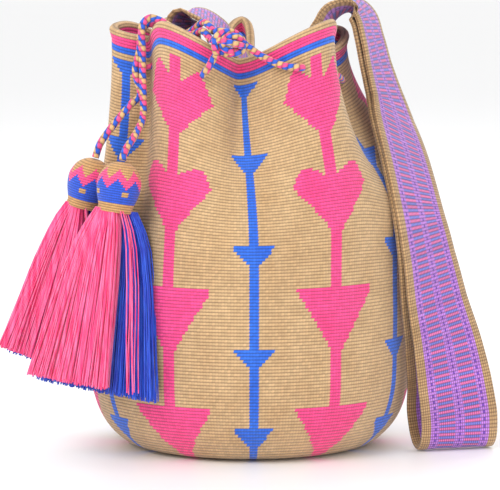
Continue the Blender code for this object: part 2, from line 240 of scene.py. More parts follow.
# the rim climbs from each valley to the lobe's peak and down to the next
def rimHeights():
    heights = np.zeros(outlineSteps)
    for (_, top, peak), (_, low), (_, nextLow), steps in lobeSpans():
        for k, share in steps:
            if share < peak:
                heights[k] = low + (top - low) * smoothstep(0, 1, share / peak)
            else:
                heights[k] = nextLow + (top - nextLow) * smoothstep(0, 1, (1 - share) / (1 - peak))
    return heights * mm


rimOutline = gatheredOutline()
rimTops = rimHeights()


# plan position of the wall at many angles and one height
def wallPlan(angles, height):
    place = np.mod(angles * stepsPerDegree, outlineSteps)
    low = np.floor(place).astype(int) % outlineSteps
    share = (place - np.floor(place))[:, None]
    gathered = rimOutline[low] * (1 - share) + rimOutline[(low + 1) % outlineSteps] * share
    turn = np.radians(angles)
    circle = np.stack([np.cos(turn), np.sin(turn)], 1) * bagShape["radius"]
    fold = np.exp(-(((angles - bagShape["foldAngle"] + 180) % 360 - 180) / bagShape["foldWidth"]) ** 2)
    sway = bagShape["gatherSway"] * np.cos(np.radians(angles - bagShape["swayAngle"]))
    low = bagShape["gatherFrom"] - sway - bagShape["foldStartsLower"] * fold
    high = bagShape["gatherTo"] - bagShape["foldEndsLower"] * fold
    gather = smoothstep(low * mm, high * mm, height)[:, None]
    return circle * (1 - gather) + gathered * gather


# outward direction of the wall in plan
def wallNormal(angles, height):
    step = wallPlan(angles + 0.6, height) - wallPlan(angles - 0.6, height)
    normal = np.stack([step[:, 1], -step[:, 0]], 1)
    return normal / np.linalg.norm(normal, axis=1)[:, None]


# the wall's skin at a distance inside its outer face, lifted to meet the rim
def wallPoints(angles, height, inset):
    plan = wallPlan(angles, height) - wallNormal(angles, height) * inset
    tops = np.interp(np.mod(angles, 360), np.arange(outlineSteps + 1) / stepsPerDegree,
                     np.append(rimTops, rimTops[0]))
    share = smoothstep(bagShape["riseFrom"], bagShape["riseTo"], height)
    rise = height * (1 + (tops / bagShape["height"] - 1) * share)
    return np.column_stack([plan, rise])


# half section: base centre, out and up the outer wall, over the rolled rim and down inside
def bagProfile():
    outer = [Vector((radius * mm, 0, height * mm)) for radius, height in (
        (20, 0), (45, 0), (60, 0), (72, 0), (80.5, 1.6), (88, 5), (98, 15), (105, 29), (109, 48),
        (110, 80))]
    outer += [Vector((bagShape["radius"], 0, z * mm)) for z in (115, 160, 207, 246, 283)]
    section = [point for _, point in smoothRoute(outer, 2.6 * mm)]
    rollMiddle = Vector((bagShape["radius"] - bagShape["wall"] / 2, 0,
                         bagShape["height"] - bagShape["roll"]))
    for degrees in (-25, 0, 30, 60, 90, 120, 150, 180, 205):
        turn = math.radians(degrees)
        section.append(rollMiddle + Vector((math.cos(turn), 0, math.sin(turn))) * bagShape["roll"])
    for z in (283, 276, 268, 260, 250, 240, 225, 207, 186, 163, 140, 115, 80, 48):
        section.append(Vector((bagShape["radius"] - bagShape["wall"], 0, z * mm)))
    for radius, z in ((102.3, 30.6), (95.3, 16.8), (85.3, 7), (70, 3), (40, 3), (15, 3)):
        section.append(Vector((radius * mm, 0, z * mm)))
    return section


def makeBag(material):
    columns = bagShape["columns"]
    angles = np.arange(columns) * 360 / columns
    turn = np.radians(angles)
    section = bagProfile()
    points = np.zeros((len(section), columns, 3))
    uv = np.zeros((len(section), columns, 2))
    for i, place in enumerate(section):
        if place.x < bagShape["baseFlat"] - 1 * mm:
            points[i] = np.column_stack([np.cos(turn) * place.x, np.sin(turn) * place.x,
                                         np.full(columns, place.z)])
        else:
            points[i] = wallPoints(angles, place.z, bagShape["radius"] - place.x)
        uv[i, :, 0] = angles / 360 * bagShape["stitches"]
        uv[i, :, 1] = (bagShape["height"] - place.z) / bagShape["rowHeight"]
    # hand-made work is never perfectly round: a slow swell of under a millimetre
    for i, place in enumerate(section):
        if place.z > bagShape["swellAbove"]:
            for j in range(columns):
                swell = noise.noise(Vector(points[i, j]) * bagShape["swellsPerMetre"]) * bagShape["swell"]
                points[i, j, :2] *= 1 + swell / bagShape["radius"]
    mesh = gridMesh("crocheted_bag", points, uv, bagShape["stitches"])
    piece = addObject("crocheted_bag", mesh, material, "bag")
    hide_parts("bag_body")


# a plain triangle, point down: flat top, point and half width of the top
def triangle(top, point, half):
    return {"top": top, "widest": top - 1, "bottom": point, "start": half, "max": half}


# heights are millimetres above the base, widths are stitches from the column's middle
motifSettings = {
    "columnStitches": 28, "columnStart": 82.6,
    "pinkStem": 2.05, "blueStem": 1.6, "stemTop": 273,
    "pink": ({"top": 267, "widest": 249, "bottom": 216, "start": 8.6, "max": 12.2,
              "notch": 6.4, "depth": 15},
             {"top": 200, "widest": 187.5, "bottom": 151, "start": 10.5, "max": 13.6,
              "notch": 8, "depth": 9.5},
             triangle(119, 70, 14.8), triangle(40, -4, 15)),
    "blue": (triangle(273, 261, 7.4), triangle(217, 200, 7.4), triangle(148, 131, 6.6),
             triangle(79, 62, 6.6), triangle(25, 8, 6.6)),
    "pinkBand": (1.5, 4.5), "blueBand": (4.5, 6.5),    # rows counted down from the rim
    "patchSize": 16.7 * mm, "bump": 0.7 * mm,
}
# the gap colour is no yarn but painted shade for the hollows between stitches
yarnColours = {"camelLight": "#DAB88B", "camelDark": "#BF986A", "pinkLight": "#FF549A",
               "pinkDark": "#FA3A80", "blueLight": "#3278EC", "blueDark": "#2059D0", "gapShade": "#45290F"}
# how every worked yarn here looks up close: stitch roundness, painted shade darkening the gaps between
# stitches, fuzz of the fibres
yarnSettings = {"roundness": 0.45, "sideDip": 0.62, "gapShadeReach": 0.75, "gapShadeStrength": 0.8,
                "toneLow": 0.9, "toneHigh": 1.1, "fuzzSize": 0.714 * mm, "fuzzHeight": 0.3,
                "bumpStrength": 0.75}


# splits a pair of running stitch numbers into whole stitches and the place inside one
def stitchNodes(tree, lean):
    places = addNode(tree, "ShaderNodeUVMap", {"uv_map": "stitches"})
    split = addNode(tree, "ShaderNodeSeparateXYZ", {}, {0: places})
    leaning = addNode(tree, "ShaderNodeMath", {"operation": "MULTIPLY_ADD"},
                      {0: addNode(tree, "ShaderNodeMath", {"operation": "FRACT"}, {0: split.outputs[1]}),
                       1: lean, 2: split.outputs[0]})
    stitch = addNode(tree, "ShaderNodeMath", {"operation": "FLOOR"}, {0: leaning})
    row = addNode(tree, "ShaderNodeMath", {"operation": "FLOOR"}, {0: split.outputs[1]})
    bumps = []
    for running in (leaning, split.outputs[1]):
        inside = addNode(tree, "ShaderNodeMath", {"operation": "FRACT"}, {0: running})
        arch = addNode(tree, "ShaderNodeMath", {"operation": "PINGPONG"}, {0: inside, 1: 0.5})
        arch = addNode(tree, "ShaderNodeMath", {"operation": "MULTIPLY"}, {0: arch, 1: 2.0})
        bumps.append(addNode(tree, "ShaderNodeMath", {"operation": "POWER"},
                             {0: arch, 1: yarnSettings["roundness"]}))
    # neighbours in a row nearly touch, while rows lie apart
    beside = addNode(tree, "ShaderNodeMapRange", {}, {0: bumps[0], 3: yarnSettings["sideDip"], 4: 1.0})
    relief = addNode(tree, "ShaderNodeMath", {"operation": "MULTIPLY"}, {0: beside, 1: bumps[1]})
    cell = addNode(tree, "ShaderNodeCombineXYZ", {}, {0: stitch, 1: row})
    chance = addNode(tree, "ShaderNodeTexWhiteNoise", {"noise_dimensions": "3D"}, {"Vector": cell})
    return stitch, row, relief, chance


# yarn colours over each other, painted shade darkening the gaps between the stitches, fuzz and relief
def yarnSurfaceWithGapShade(tree, shader, colour, relief, chance, bumpDepth, gapShadeColour):
    # painted shade: where the relief sinks, the yarn colour is multiplied towards the gap shade colour
    deep = addNode(tree, "ShaderNodeMapRange", {}, {0: relief, 1: 0.0, 2: yarnSettings["gapShadeReach"],
                                                    3: yarnSettings["gapShadeStrength"], 4: 0.0})
    shaded = addNode(tree, "ShaderNodeMix", {"data_type": "RGBA", "blend_type": "MULTIPLY"},
                     {0: deep, 6: colour, 7: hexToLinear(gapShadeColour)})
    bright = addNode(tree, "ShaderNodeMapRange", {}, {0: chance, 3: yarnSettings["toneLow"],
                                                      4: yarnSettings["toneHigh"]})
    varied = addNode(tree, "ShaderNodeHueSaturation", {}, {"Value": bright, "Color": shaded.outputs[2]})
    # real fibres are ten times finer: drawn as coarse as they need to be to show
    place = addNode(tree, "ShaderNodeTexCoord").outputs["Object"]
    fuzz = addNode(tree, "ShaderNodeTexNoise", {}, {"Scale": 1 / yarnSettings["fuzzSize"], "Detail": 3.0,
                                                    "Vector": place})
    height = addNode(tree, "ShaderNodeMath", {"operation": "MULTIPLY_ADD"},
                     {0: fuzz, 1: yarnSettings["fuzzHeight"], 2: relief})
    bump = addNode(tree, "ShaderNodeBump", {}, {"Strength": yarnSettings["bumpStrength"],
                                                "Distance": bumpDepth, "Height": height})
    tree.links.new(varied.outputs[0], shader.inputs["Base Color"])
    tree.links.new(bump.outputs[0], shader.inputs["Normal"])


# 1 where a value lies inside a range
def between(tree, value, low, high):
    above = addNode(tree, "ShaderNodeMath", {"operation": "GREATER_THAN"}, {0: value, 1: low})
    below = addNode(tree, "ShaderNodeMath", {"operation": "LESS_THAN"}, {0: value, 1: high})
    return addNode(tree, "ShaderNodeMath", {"operation": "MULTIPLY"}, {0: above, 1: below})


# one column of motifs: 1 where its colour shows
def motifColumn(tree, aside, height, shapes, stem):
    shown = addNode(tree, "ShaderNodeMath", {"operation": "LESS_THAN"}, {0: aside, 1: stem})
    belowBands = addNode(tree, "ShaderNodeMath", {"operation": "LESS_THAN"},
                         {0: height, 1: motifSettings["stemTop"]})
    shown = addNode(tree, "ShaderNodeMath", {"operation": "MULTIPLY"}, {0: shown, 1: belowBands})
    for shape in shapes:
        grows = addNode(tree, "ShaderNodeMapRange", {}, {0: height, 1: shape["top"], 2: shape["widest"],
                                                         3: shape["start"], 4: shape["max"]})
        shrinks = addNode(tree, "ShaderNodeMapRange", {}, {0: height, 1: shape["widest"],
                                                           2: shape["bottom"], 3: shape["max"], 4: 0.0})
        half = addNode(tree, "ShaderNodeMath", {"operation": "MINIMUM"}, {0: grows, 1: shrinks})
        inside = addNode(tree, "ShaderNodeMath", {"operation": "LESS_THAN"}, {0: aside, 1: half})
        started = addNode(tree, "ShaderNodeMath", {"operation": "LESS_THAN"}, {0: height, 1: shape["top"]})
        inside = addNode(tree, "ShaderNodeMath", {"operation": "MULTIPLY"}, {0: inside, 1: started})
        if "notch" in shape:
            notch = addNode(tree, "ShaderNodeMapRange", {}, {0: height, 1: shape["top"], 3: shape["notch"],
                                                             2: shape["top"] - shape["depth"], 4: 0.0})
            beyond = addNode(tree, "ShaderNodeMath", {"operation": "GREATER_THAN"}, {0: aside, 1: notch})
            inside = addNode(tree, "ShaderNodeMath", {"operation": "MULTIPLY"}, {0: inside, 1: beyond})
        shown = addNode(tree, "ShaderNodeMath", {"operation": "MAXIMUM"}, {0: shown, 1: inside})
    return shown


# cotton yarn in single crochet: rows of small leaning bumps with painted shade in the gaps, dull and a
# little fuzzy
def makeTapestryCrochet():
    material, tree, shader = newMaterial("single crochet cotton yarn, tapestry worked", Roughness=0.86,
                                         Sheen_Weight=0.25, Sheen_Roughness=0.5)
    stitch, row, relief, chance = stitchNodes(tree, 0.35)
    column = addNode(tree, "ShaderNodeMath", {"operation": "MULTIPLY_ADD"},
                     {0: stitch, 1: 1 / motifSettings["columnStitches"],
                      2: (motifSettings["columnStart"] + 0.5) / motifSettings["columnStitches"]})
    whole = addNode(tree, "ShaderNodeMath", {"operation": "ROUND"}, {0: column})
    aside = addNode(tree, "ShaderNodeMath", {"operation": "SUBTRACT"}, {0: column, 1: whole})
    aside = addNode(tree, "ShaderNodeMath", {"operation": "ABSOLUTE"}, {0: aside})
    aside = addNode(tree, "ShaderNodeMath", {"operation": "MULTIPLY"},
                    {0: aside, 1: motifSettings["columnStitches"]})
    isPink = addNode(tree, "ShaderNodeMath", {"operation": "MODULO"}, {0: whole, 1: 2.0})
    isPink = between(tree, isPink, 0.5, 1.5)
    isBlue = addNode(tree, "ShaderNodeMath", {"operation": "SUBTRACT"}, {0: 1.0, 1: isPink})
    height = addNode(tree, "ShaderNodeMath", {"operation": "MULTIPLY_ADD"},
                     {0: row, 1: -bagShape["rowHeight"] / mm,
                      2: (bagShape["height"] - bagShape["rowHeight"] / 2) / mm})
    masks = []
    for isColumn, name, band in ((isPink, "pink", "pinkBand"), (isBlue, "blue", "blueBand")):
        shown = motifColumn(tree, aside, height, motifSettings[name], motifSettings[name + "Stem"])
        shown = addNode(tree, "ShaderNodeMath", {"operation": "MULTIPLY"}, {0: shown, 1: isColumn})
        masks.append(addNode(tree, "ShaderNodeMath", {"operation": "MAXIMUM"},
                             {0: shown, 1: between(tree, row, *motifSettings[band])}))
    patches = addNode(tree, "ShaderNodeTexNoise", {}, {
        "Scale": 1 / motifSettings["patchSize"],
        "Vector": addNode(tree, "ShaderNodeTexCoord").outputs["Object"]})
    colour = None
    for mask, name in ((None, "camel"), (masks[0], "pink"), (masks[1], "blue")):
        yarn = addNode(tree, "ShaderNodeMix", {"data_type": "RGBA"},
                       {0: patches, 6: hexToLinear(yarnColours[name + "Dark"]),
                        7: hexToLinear(yarnColours[name + "Light"])})
        if mask:
            yarn = addNode(tree, "ShaderNodeMix", {"data_type": "RGBA"},
                           {0: mask, 6: colour.outputs[2], 7: yarn.outputs[2]})
        colour = yarn
    yarnSurfaceWithGapShade(tree, shader, colour.outputs[2], relief, chance, motifSettings["bump"], yarnColours["gapShade"])
    return material


tapestryCrochet = makeTapestryCrochet()
makeBag(tapestryCrochet)
print("bag body made")


# one braided cord makes the drawstring, its knot and the two tails
cordSettings = {"radius": 2.4 * mm, "knotRadius": 2.3 * mm, "sides": 14, "spacing": 1.1 * mm,
                "blocksAround": 4, "blockLength": 3.6 * mm, "bump": 0.6 * mm, "lean": 0.5,
                "knotCentre": Vector((-13.5, -76, 276)) * mm, "eyeletDrop": 24 * mm,
                "colours": ("#F0528C", "#2C5FD2", "#D9B07A"), "gapShade": "#3A2030"}


# braided cotton: diagonal blocks of three yarn colours, each block a rounded dull bump, with painted shade
# in the hollows between blocks
def makeBraidedCotton():
    material, tree, shader = newMaterial("round braided cotton cord", Roughness=0.82,
                                         Sheen_Weight=0.2, Sheen_Roughness=0.5)
    stitch, row, relief, chance = stitchNodes(tree, cordSettings["lean"])
    total = addNode(tree, "ShaderNodeMath", {"operation": "ADD"}, {0: stitch, 1: row})
    which = addNode(tree, "ShaderNodeMath", {"operation": "MODULO"}, {0: total, 1: 3.0})
    colour = addNode(tree, "ShaderNodeRGB")
    colour.outputs[0].default_value = hexToLinear(cordSettings["colours"][0])
    colour = colour.outputs[0]
    for k in (1, 2):
        colour = addNode(tree, "ShaderNodeMix", {"data_type": "RGBA"},
                         {0: between(tree, which, k - 0.5, k + 0.5), 6: colour,
                          7: hexToLinear(cordSettings["colours"][k])}).outputs[2]
    # the gap colour darkens the hollows between blocks as painted shade
    yarnSurfaceWithGapShade(tree, shader, colour, relief, chance, cordSettings["bump"], cordSettings["gapShade"])
    return material


# a round cord through given points in metres, with its route and length
def cordMesh(name, points, radius):
    route = [point for _, point in smoothRoute(points, cordSettings["spacing"])]
    sides = cordSettings["sides"]
    tangents = [(route[min(i + 1, len(route) - 1)] - route[max(i - 1, 0)]).normalized()
                for i in range(len(route))]
    side = tangents[0].orthogonal().normalized()
    points = np.zeros((len(route), sides, 3))
    uv = np.zeros((len(route), sides, 2))
    along = 0.0
    for i, (place, tangent) in enumerate(zip(route, tangents)):
        side = (side - side.dot(tangent) * tangent).normalized()
        other = tangent.cross(side)
        along += (place - route[i - 1]).length if i else 0.0
        for j in range(sides):
            turn = 2 * math.pi * j / sides
            points[i, j] = place + (side * math.cos(turn) + other * math.sin(turn)) * radius
            uv[i, j] = (j / sides * cordSettings["blocksAround"], along / cordSettings["blockLength"])
    return gridMesh(name, points, uv, cordSettings["blocksAround"]), route, along


# a cord rides the bag, or stands free of it when a blend is given
def makeCord(name, points, material, nodes, blend=None):
    mesh, route, length = cordMesh(name, [Vector(p) * mm for p in points], cordSettings["radius"])
    piece = addObject(name, mesh, material, None if blend else "bag")
    if blend:
        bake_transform(piece)
    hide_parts(*nodes)
    tuple(route[0])
    [tuple(point) for point in route]


eyeletAngles = (-64.5, -36, -20, 30.5, 45.5, 92.5, 107.5, 158.5, 173.5, 216, 226, 250.5)


# from the knot through every eyelet in turn, behind the lobes inside and across the valleys outside
def drawstringPoints():
    knot = cordSettings["knotCentre"] / mm
    points = [knot + Vector((11.2, 0.5, -1.5)), Vector((6, -73.5, 268.5)),
              Vector((15, -77.5, 264)), Vector((25, -81, 261))]
    height = bagShape["height"] - cordSettings["eyeletDrop"]
    places = []
    for angle in eyeletAngles:
        centre = wallPoints(np.array([angle]), height, bagShape["wall"] / 2)[0] / mm
        outward = wallNormal(np.array([angle]), height)[0]
        places.append((Vector(centre), Vector((*outward, 0))))
    side = 1
    for i, (centre, outward) in enumerate(places):
        for step in (4.8, 1.8, -1.8, -4.8):
            points.append(centre + outward * step * side)
        if side > 0 and i + 1 < len(places):
            points.append((centre + places[i + 1][0]) / 2 - outward * 7 - Vector((0, 0, 4)))
        side = -side
    points += [Vector((-27.5, -80.8, 260)), Vector((-24, -80.5, 266)), knot + Vector((-7.6, -3.6, -6.6))]
    return [tuple(point) for point in points]


rearTail = ((-23.5, -75.5, 283.5), (-27, -70, 287.5), (-31, -62, 289), (-36.5, -54.5, 284.5),
            (-44, -50.5, 280.5), (-52, -49.5, 281.8), (-58.8, -46.9, 284.6), (-64, -43.8, 286.8),
            (-69, -43, 286.3), (-72, -45.6, 280.5), (-73, -46.6, 270), (-75.8, -47.6, 256),
            (-72.5, -47, 241), (-78, -49, 235), (-86, -51.5, 226), (-94, -53.8, 216),
            (-99.3, -55.2, 208), (-102.3, -55, 199.4))
frontTail = ((-25.8, -76, 278), (-29, -71, 282.5), (-32.5, -65, 283.5), (-37.5, -60, 281),
             (-44.5, -57, 281.5), (-52.5, -54.8, 286), (-60, -52, 290), (-66.5, -50.5, 291.3),
             (-71.4, -51, 285.5), (-71, -52, 272), (-71, -52.9, 259), (-70.6, -53.9, 244),
             (-70.5, -55.5, 228), (-72.5, -61.5, 221), (-76, -70, 214.5), (-80.5, -77.5, 208),
             (-82.7, -80.5, 203.5), (-83.4, -80.9, 199.6))
braidedCotton = makeBraidedCotton()
makeCord("braided_drawstring", drawstringPoints(), braidedCotton, ["drawstring"])
makeCord("rear_tail", rearTail, braidedCotton, ["rear_tail_cord", "rear_tassel_cord"],
         ("rear_tassel", (-0.0735, -0.0466, 0.244), (-0.0765, -0.0485, 0.2365)))
makeCord("front_tail", frontTail, braidedCotton, ["front_tail_cord", "front_tassel_cord"],
         ("front_tassel", (-0.0707, -0.055, 0.2325), (-0.0722, -0.0595, 0.2225)))

# two wraps and a loop, drawn tight; millimetres from the knot's centre
knotTurns = (
    ((-8.5, -4.5, -7), (-9.5, -6.5, -1), (-8, -6, 5), (-2, -3, 7.6), (4, 1, 6.5), (8.6, 1, 1.5),
     (6.5, -1, -3.5), (1, -5.5, -5), (-4, -7.2, -2), (-3, -6.8, 3.5), (2.5, -6.2, 5), (7, -4.2, 3),
     (10.8, 0, -1.2)),
    ((-9.6, 0.5, 7.2), (-6, -1.5, 8.6), (-2.4, -2.2, 6.5), (-4.4, -4, 1.5), (-7, -3, -3.4),
     (-2.5, -2.5, -6.4), (3.5, -4.6, -6.2), (8, -3.5, -5), (9.4, 1.5, -2.5)),
    ((-12, 0.2, 2.2), (-8.6, -5, 2.4), (-2.5, -8.6, 1.6), (4, -8.4, 0), (8.4, -5, -1.5), (8.6, 0.5, -2.5)),
)
for i, turns in enumerate(knotTurns):
    points = [cordSettings["knotCentre"] + Vector(p) * mm for p in turns]
    mesh, _, _ = cordMesh(f"knot_turn_{i}", points, cordSettings["knotRadius"])
    turn = addObject(f"knot_turn_{i}", mesh, braidedCotton, "bag")
    if i == 0:
        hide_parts("drawstring_knot")
print("drawstring, knot and tails made")


# a thick hand-woven band with camel borders; bars and floats are millimetres from the near edge
# rows: place of the middle, heading of the width in degrees, how far the width bows
strapSettings = {
    "width": 54 * mm, "thickness": 3.2 * mm, "spacing": 2 * mm, "border": 6.4 * mm, "fill": 0.97,
    "pick": 2.1, "warp": 1.5, "patchSize": 11.1 * mm, "bump": 0.6 * mm,
    "bars": ((12.5, 23.5), (30.5, 41.5)), "floats": ((9, 10.4), (26.3, 27.7), (43.6, 45)),
    "lilac": ("#BE74E6", "#DA9AF4"), "camel": ("#BE9560", "#DDB686"), "barBlue": "#8084E0",
    "barPink": "#F277B8", "purple": "#8148C4", "gapShade": "#3B2038",
    "rows": (
        ((-43, -18, 260), 66, 0), ((-44.5, -18, 273), 66, 0), ((-46, -18, 285), 68, 0),
        ((-43, -18, 293), 72, 0), ((-33, -18, 292), 76, 0), ((-21, -17, 284), 79, 0),
        ((-10, -15, 270), 81, 0), ((0, -12, 258), 82, 0), ((12, -9, 254), 82, 0),
        ((26, -5, 257), 81, 0), ((36.5, -2, 267), 79, 0), ((45.3, 1, 281), 77, 0),
        ((55, 4, 294), 76, 0), ((68, 6.5, 299), 75, 0), ((78, 6, 291), 74, 0),
        ((83, 4, 275), 73, 0), ((87, 3, 258), 71, 0), ((92, 0, 241), 68, 0),
        ((97, -6, 225), 65, 0), ((105.5, -26.5, 195), 58, 0), ((113.2, -41.5, 162), 53, 0),
        ((119.8, -44, 131), 48, 0), ((125.5, -43.5, 101), 40, 0), ((132, -44, 74), 30, 0),
        ((137, -44, 48), 21, 0), ((140.5, -43, 24), 16, 0), ((140.5, -41, 10), 16, 0),
        ((139, -36.5, 3.4), 16, 0), ((137.3, -31, 2.2), 16, 0), ((135.5, -25.5, 4.4), 16, 0),
        ((133.5, -21, 13), 16, 0), ((131.5, -20, 28), 18, 0), ((131, -24.5, 48), 21, 0),
        ((126.8, -32, 74), 30, 0), ((121.3, -36.9, 101), 40, 0), ((116.6, -39.6, 131), 48, 0),
        ((110.8, -38.2, 162), 53, 0), ((102.8, -23.4, 195), 58, 0), ((93.5, -4.5, 225), 65, 0),
        ((88.3, 1.5, 241), 68, 0), ((83.2, 4.2, 258), 71, 0), ((79, 5.2, 275), 73, 0),
        ((75.5, 6.5, 286.5), 74, 0), ((67.5, 7.3, 293.5), 75, 1), ((57.5, 3.5, 289), 77, 4),
        ((53, 0, 279), 80, 7), ((51.5, -1.5, 266), 82, 8)),
}


# tightly beaten cotton: close rounded ribs across the band, dull with a soft bloom at grazing light, and
# painted shade in the hollows between ribs
def makeWovenStrap():
    material, tree, shader = newMaterial("warp-faced cotton weave, beaten tight", Roughness=0.84,
                                         Sheen_Weight=0.3, Sheen_Roughness=0.5)
    places = addNode(tree, "ShaderNodeUVMap", {"uv_map": "stitches"})
    split = addNode(tree, "ShaderNodeSeparateXYZ", {}, {0: places})
    across = split.outputs[0]   # millimetres from the near border
    along = split.outputs[1]    # millimetres from the first end
    patches = addNode(tree, "ShaderNodeTexNoise", {}, {
        "Scale": 1 / strapSettings["patchSize"],
        "Vector": addNode(tree, "ShaderNodeTexCoord").outputs["Object"]})
    colour, camel = [addNode(tree, "ShaderNodeMix", {"data_type": "RGBA"},
                             {0: patches, 6: hexToLinear(dark), 7: hexToLinear(light)}).outputs[2]
                     for dark, light in (strapSettings["lilac"], strapSettings["camel"])]
    # pick-up bars change colour with every pick along the band
    pick = addNode(tree, "ShaderNodeMath", {"operation": "MULTIPLY"},
                   {0: along, 1: 1 / strapSettings["pick"]})
    pick = addNode(tree, "ShaderNodeMath", {"operation": "FLOOR"}, {0: pick})
    pinkBar = addNode(tree, "ShaderNodeMath", {"operation": "MODULO"}, {0: pick, 1: 2.0})
    bar = addNode(tree, "ShaderNodeMix", {"data_type": "RGBA"},
                  {0: pinkBar, 6: hexToLinear(strapSettings["barBlue"]),
                   7: hexToLinear(strapSettings["barPink"])}).outputs[2]
    for low, high in strapSettings["bars"]:
        colour = addNode(tree, "ShaderNodeMix", {"data_type": "RGBA"},
                         {0: between(tree, across, low, high), 6: colour, 7: bar}).outputs[2]
    # small purple floats in three lines
    for low, high in strapSettings["floats"]:
        dotted = addNode(tree, "ShaderNodeMath", {"operation": "MULTIPLY"},
                         {0: between(tree, across, low, high), 1: pinkBar})
        colour = addNode(tree, "ShaderNodeMix", {"data_type": "RGBA"},
                         {0: dotted, 6: colour, 7: hexToLinear(strapSettings["purple"])}).outputs[2]
    inner = between(tree, across, strapSettings["border"] / mm,
                    (strapSettings["width"] - strapSettings["border"]) / mm)
    colour = addNode(tree, "ShaderNodeMix", {"data_type": "RGBA"},
                     {0: inner, 6: camel, 7: colour}).outputs[2]
    # each pick is a rounded rib, crossed by finer warp threads
    rib = addNode(tree, "ShaderNodeMath", {"operation": "PINGPONG"},
                  {0: along, 1: strapSettings["pick"] / 2})
    warp = addNode(tree, "ShaderNodeMath", {"operation": "PINGPONG"},
                   {0: across, 1: strapSettings["warp"] / 2})
    relief = addNode(tree, "ShaderNodeMath", {"operation": "MULTIPLY"}, {0: rib, 1: warp})
    relief = addNode(tree, "ShaderNodeMath", {"operation": "POWER"}, {0: relief, 1: 0.5})
    cell = addNode(tree, "ShaderNodeCombineXYZ", {}, {0: pick})
    chance = addNode(tree, "ShaderNodeTexWhiteNoise", {"noise_dimensions": "3D"}, {"Vector": cell})
    # painted shade in the hollows between ribs and warp threads, from the gap shade colour
    yarnSurfaceWithGapShade(tree, shader, colour, relief, chance, strapSettings["bump"], strapSettings["gapShade"])
    return material


def makeStrap(material):
    rows = strapSettings["rows"]
    count = range(len(rows))
    route = smoothRoute([Vector(place) * mm for place, _, _ in rows], strapSettings["spacing"])
    half = strapSettings["width"] / 2
    # cross-section: across share, thickness share; the borders are rounded and stand a little proud
    section = [(-1.0, 0.0), (-0.97, 0.8), (-0.86, 1.0), (-0.74, 0.88)]
    section += [(share, 0.8) for share in np.linspace(-0.66, 0.66, 12)]
    section += [(0.74, 0.88), (0.86, 1.0), (0.97, 0.8), (1.0, 0.0)]
    section += [(share, -deep) for share, deep in section[-2:0:-1]]
    points = np.zeros((len(route), len(section), 3))
    uv = np.zeros((len(route), len(section), 2))
    length = 0.0
    for i, (at, middle) in enumerate(route):
        ahead = route[min(i + 1, len(route) - 1)][1] - route[max(i - 1, 0)][1]
        heading = math.radians(np.interp(at, count, [row[1] for row in rows]))
        bow = np.interp(at, count, [row[2] for row in rows]) * mm
        width = Vector((math.cos(heading), math.sin(heading), 0))
        face = ahead.cross(width).normalized()
        width = face.cross(ahead).normalized()
        length += (middle - route[i - 1][1]).length if i else 0.0
        for j, (share, deep) in enumerate(section):
            lift = deep * strapSettings["thickness"] / 2 * strapSettings["fill"] - bow * share * share
            points[i, j] = middle + width * share * half + face * lift
            uv[i, j] = ((share + 1) * half / mm, length / mm)
    mesh = gridMesh("woven_strap", points[:, ::-1], uv[:, ::-1])
    piece = addObject("woven_strap", mesh, material, "bag")
    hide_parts("strap")


makeStrap(makeWovenStrap())
print("strap made")


# waxed cotton at the strap's ends: a tight fine twist with a slight shine
threadSettings = {"dark": "#8A6236", "light": "#C2935A", "twist": 900.0, "bump": 0.3 * mm}
threadMaterial, threadTree, threadShader = newMaterial("waxed cotton sewing thread", Roughness=0.6)
twist = addNode(threadTree, "ShaderNodeTexNoise", {}, {"Scale": threadSettings["twist"]})
threadTone = addNode(threadTree, "ShaderNodeMix", {"data_type": "RGBA"},
                     {0: twist, 6: hexToLinear(threadSettings["dark"]),
                      7: hexToLinear(threadSettings["light"])})
threadTree.links.new(threadTone.outputs[2], threadShader.inputs["Base Color"])
threadBump = addNode(threadTree, "ShaderNodeBump", {},
                     {"Distance": threadSettings["bump"], "Height": twist})
threadTree.links.new(threadBump.outputs[0], threadShader.inputs["Normal"])
for nodeName in ("left_strap_stitching", "right_strap_stitching"):
    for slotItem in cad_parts[nodeName].material_slots:
        slotItem.material = threadMaterial
print("sewing thread dressed")


# each tassel is a crocheted head and a flat skirt of loose threads in two colours
# across runs from -1 at the near right side of the skirt to 1 at its left
tasselSettings = {
    "headRadius": 14.5 * mm, "headHalf": 16.5 * mm, "rowHeight": 1.6 * mm, "stitchesAround": 56,
    "fanHeading": Vector((-0.91, 0.415, 0)).normalized(),
    "rows": (0.0, 0.07, 0.2, 0.42, 0.7, 1.0), "widths": (0.24, 0.37, 0.52, 0.68, 0.83, 1.0),
    "rear": {"head": (-106.5, -54, 182.5), "end": (-137, -46, 62), "halfWidth": 34, "thickness": 9,
             "pinkAcross": (-0.3, 1.0)},
    "front": {"head": (-86, -82, 182.5), "end": (-107, -90, 52), "halfWidth": 48, "thickness": 12.5,
              "pinkAcross": (-0.36, 0.84)},
    "threads": 520, "threadRadius": 0.5 * mm, "threadSteps": 11, "neckHalf": 5.2 * mm,
    "strayShare": 0.012, "strayFrom": -0.85, "blueAcross": (-1.0, 0.9), "blueLonger": 0.03,
    # each yarn's dark and light tone are mixed thread by thread: partly random tone, partly painted
    # highlight and painted shade
    "shortest": 0.97, "pink": ("#FA3A7E", "#FF78AE"), "blue": ("#1E3CC0", "#2C62E4"),
    "streakSize": 1.92 * mm, "streakStretch": 0.03, "threadBump": 0.3 * mm,
}
# stitches and rows of the head's pattern, counted round and down from the top
headPattern = {"zigzag": 4.0, "pinkRows": (2.5, 6.5), "blueFrom": 6.0, "blueRows": (5.5, 16.5),
               "flowerEvery": 7.0, "flowerStitches": (-0.5, 1.5), "flowerRows": (11.5, 13.5),
               "camel": "#CFA068", "blue": "#2A5AD6", "pink": "#FF5290", "bump": 0.6 * mm}
